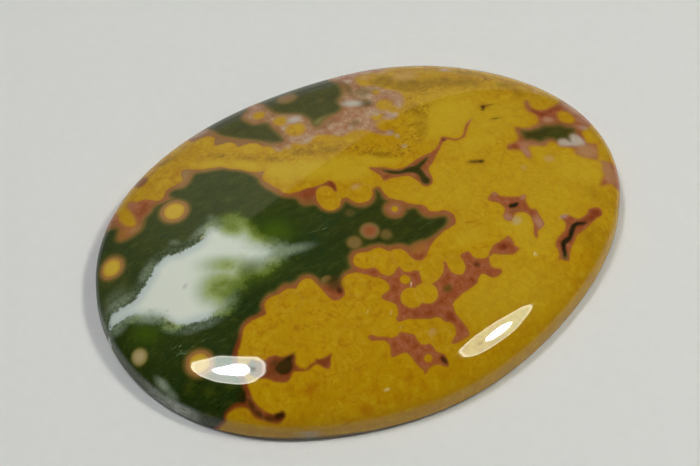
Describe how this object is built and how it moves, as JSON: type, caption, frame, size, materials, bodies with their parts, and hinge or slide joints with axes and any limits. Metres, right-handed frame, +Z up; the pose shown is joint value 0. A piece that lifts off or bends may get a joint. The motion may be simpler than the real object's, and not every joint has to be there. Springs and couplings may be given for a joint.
{
  "type": "ocean jasper cabochon",
  "caption": "Large oval stone cabochon with a low polished dome, a steep side wall and a flat back, for a bezel setting or loose display.",
  "frame": {"origin": "middle of the outline's box, on the flat back", "axes": "+X along the oval's long way, +Z up through the dome, +Y across the oval"},
  "size_m": [0.056, 0.0416, 0.0062],
  "materials": {
    "ocean_jasper": "high polish, mustard yellow with dark green and white fields and pink-rimmed orbs"
  },
  "bodies": {
    "root": {"cabochon": "ocean_jasper"}
  },
  "joints": []
}
